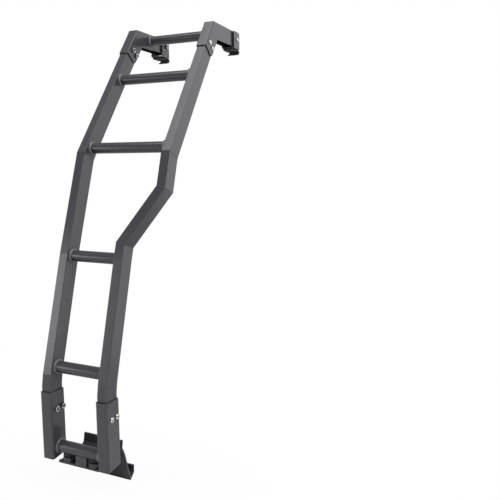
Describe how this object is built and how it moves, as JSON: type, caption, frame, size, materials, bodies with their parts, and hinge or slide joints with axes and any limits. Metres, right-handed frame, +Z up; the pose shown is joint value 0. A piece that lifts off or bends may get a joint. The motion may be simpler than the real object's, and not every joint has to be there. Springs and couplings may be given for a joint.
{
  "type": "rear gate ladder",
  "caption": "Rear gate ladder of box-section rails and round rungs, with top arms and bracket hooks over the gate, foot sleeves and a hook plate with two adjusters below.",
  "frame": {"origin": "on the gate-side flat face of the hook plate's tab, midway between the two lower rails", "axes": "+X to the right, +Y toward the gate and over it, +Z up"},
  "size_m": [0.3033, 0.4975, 1.2765],
  "materials": {
    "powder_coat": "satin fine-textured powder coat",
    "dark_steel": "powder-coated steel fastener",
    "rubber": "matt rubber pad",
    "soft_strip": "matt greyish brown foam rubber",
    "stainless": "bright stainless steel"
  },
  "bodies": {
    "root": {"left_rail_upper": "powder_coat", "left_rail_main": "powder_coat", "left_rail_foot": "powder_coat", "right_rail_upper": "powder_coat", "right_rail_neck": "powder_coat", "right_rail_jog": "powder_coat", "right_rail_lower": "powder_coat", "right_rail_foot": "powder_coat", "left_foot_sleeve": "powder_coat", "right_foot_sleeve": "powder_coat", "rung_1": "powder_coat", "rung_2": "powder_coat", "rung_3": "powder_coat", "rung_4": "powder_coat", "rung_5": "powder_coat", "rung_6": "powder_coat", "weld_beads": "powder_coat", "left_top_cap": "powder_coat", "right_top_cap": "powder_coat", "left_top_arm": "powder_coat", "right_top_arm": "powder_coat", "left_top_hook": "powder_coat", "right_top_hook": "powder_coat", "hook_plate": "powder_coat", "base_plate": "powder_coat", "centre_tab": "powder_coat", "adjuster_bosses": "powder_coat", "left_hook_pad": "rubber", "right_hook_pad": "rubber", "left_hook_strip": "soft_strip", "right_hook_strip": "soft_strip", "adjuster_studs": "dark_steel", "adjuster_nuts": "dark_steel", "cap_bolts": "stainless", "cap_nuts": "stainless", "foot_bolts": "stainless", "foot_nuts": "stainless", "hook_bolts": "stainless", "hook_nuts": "stainless"}
  },
  "joints": []
}
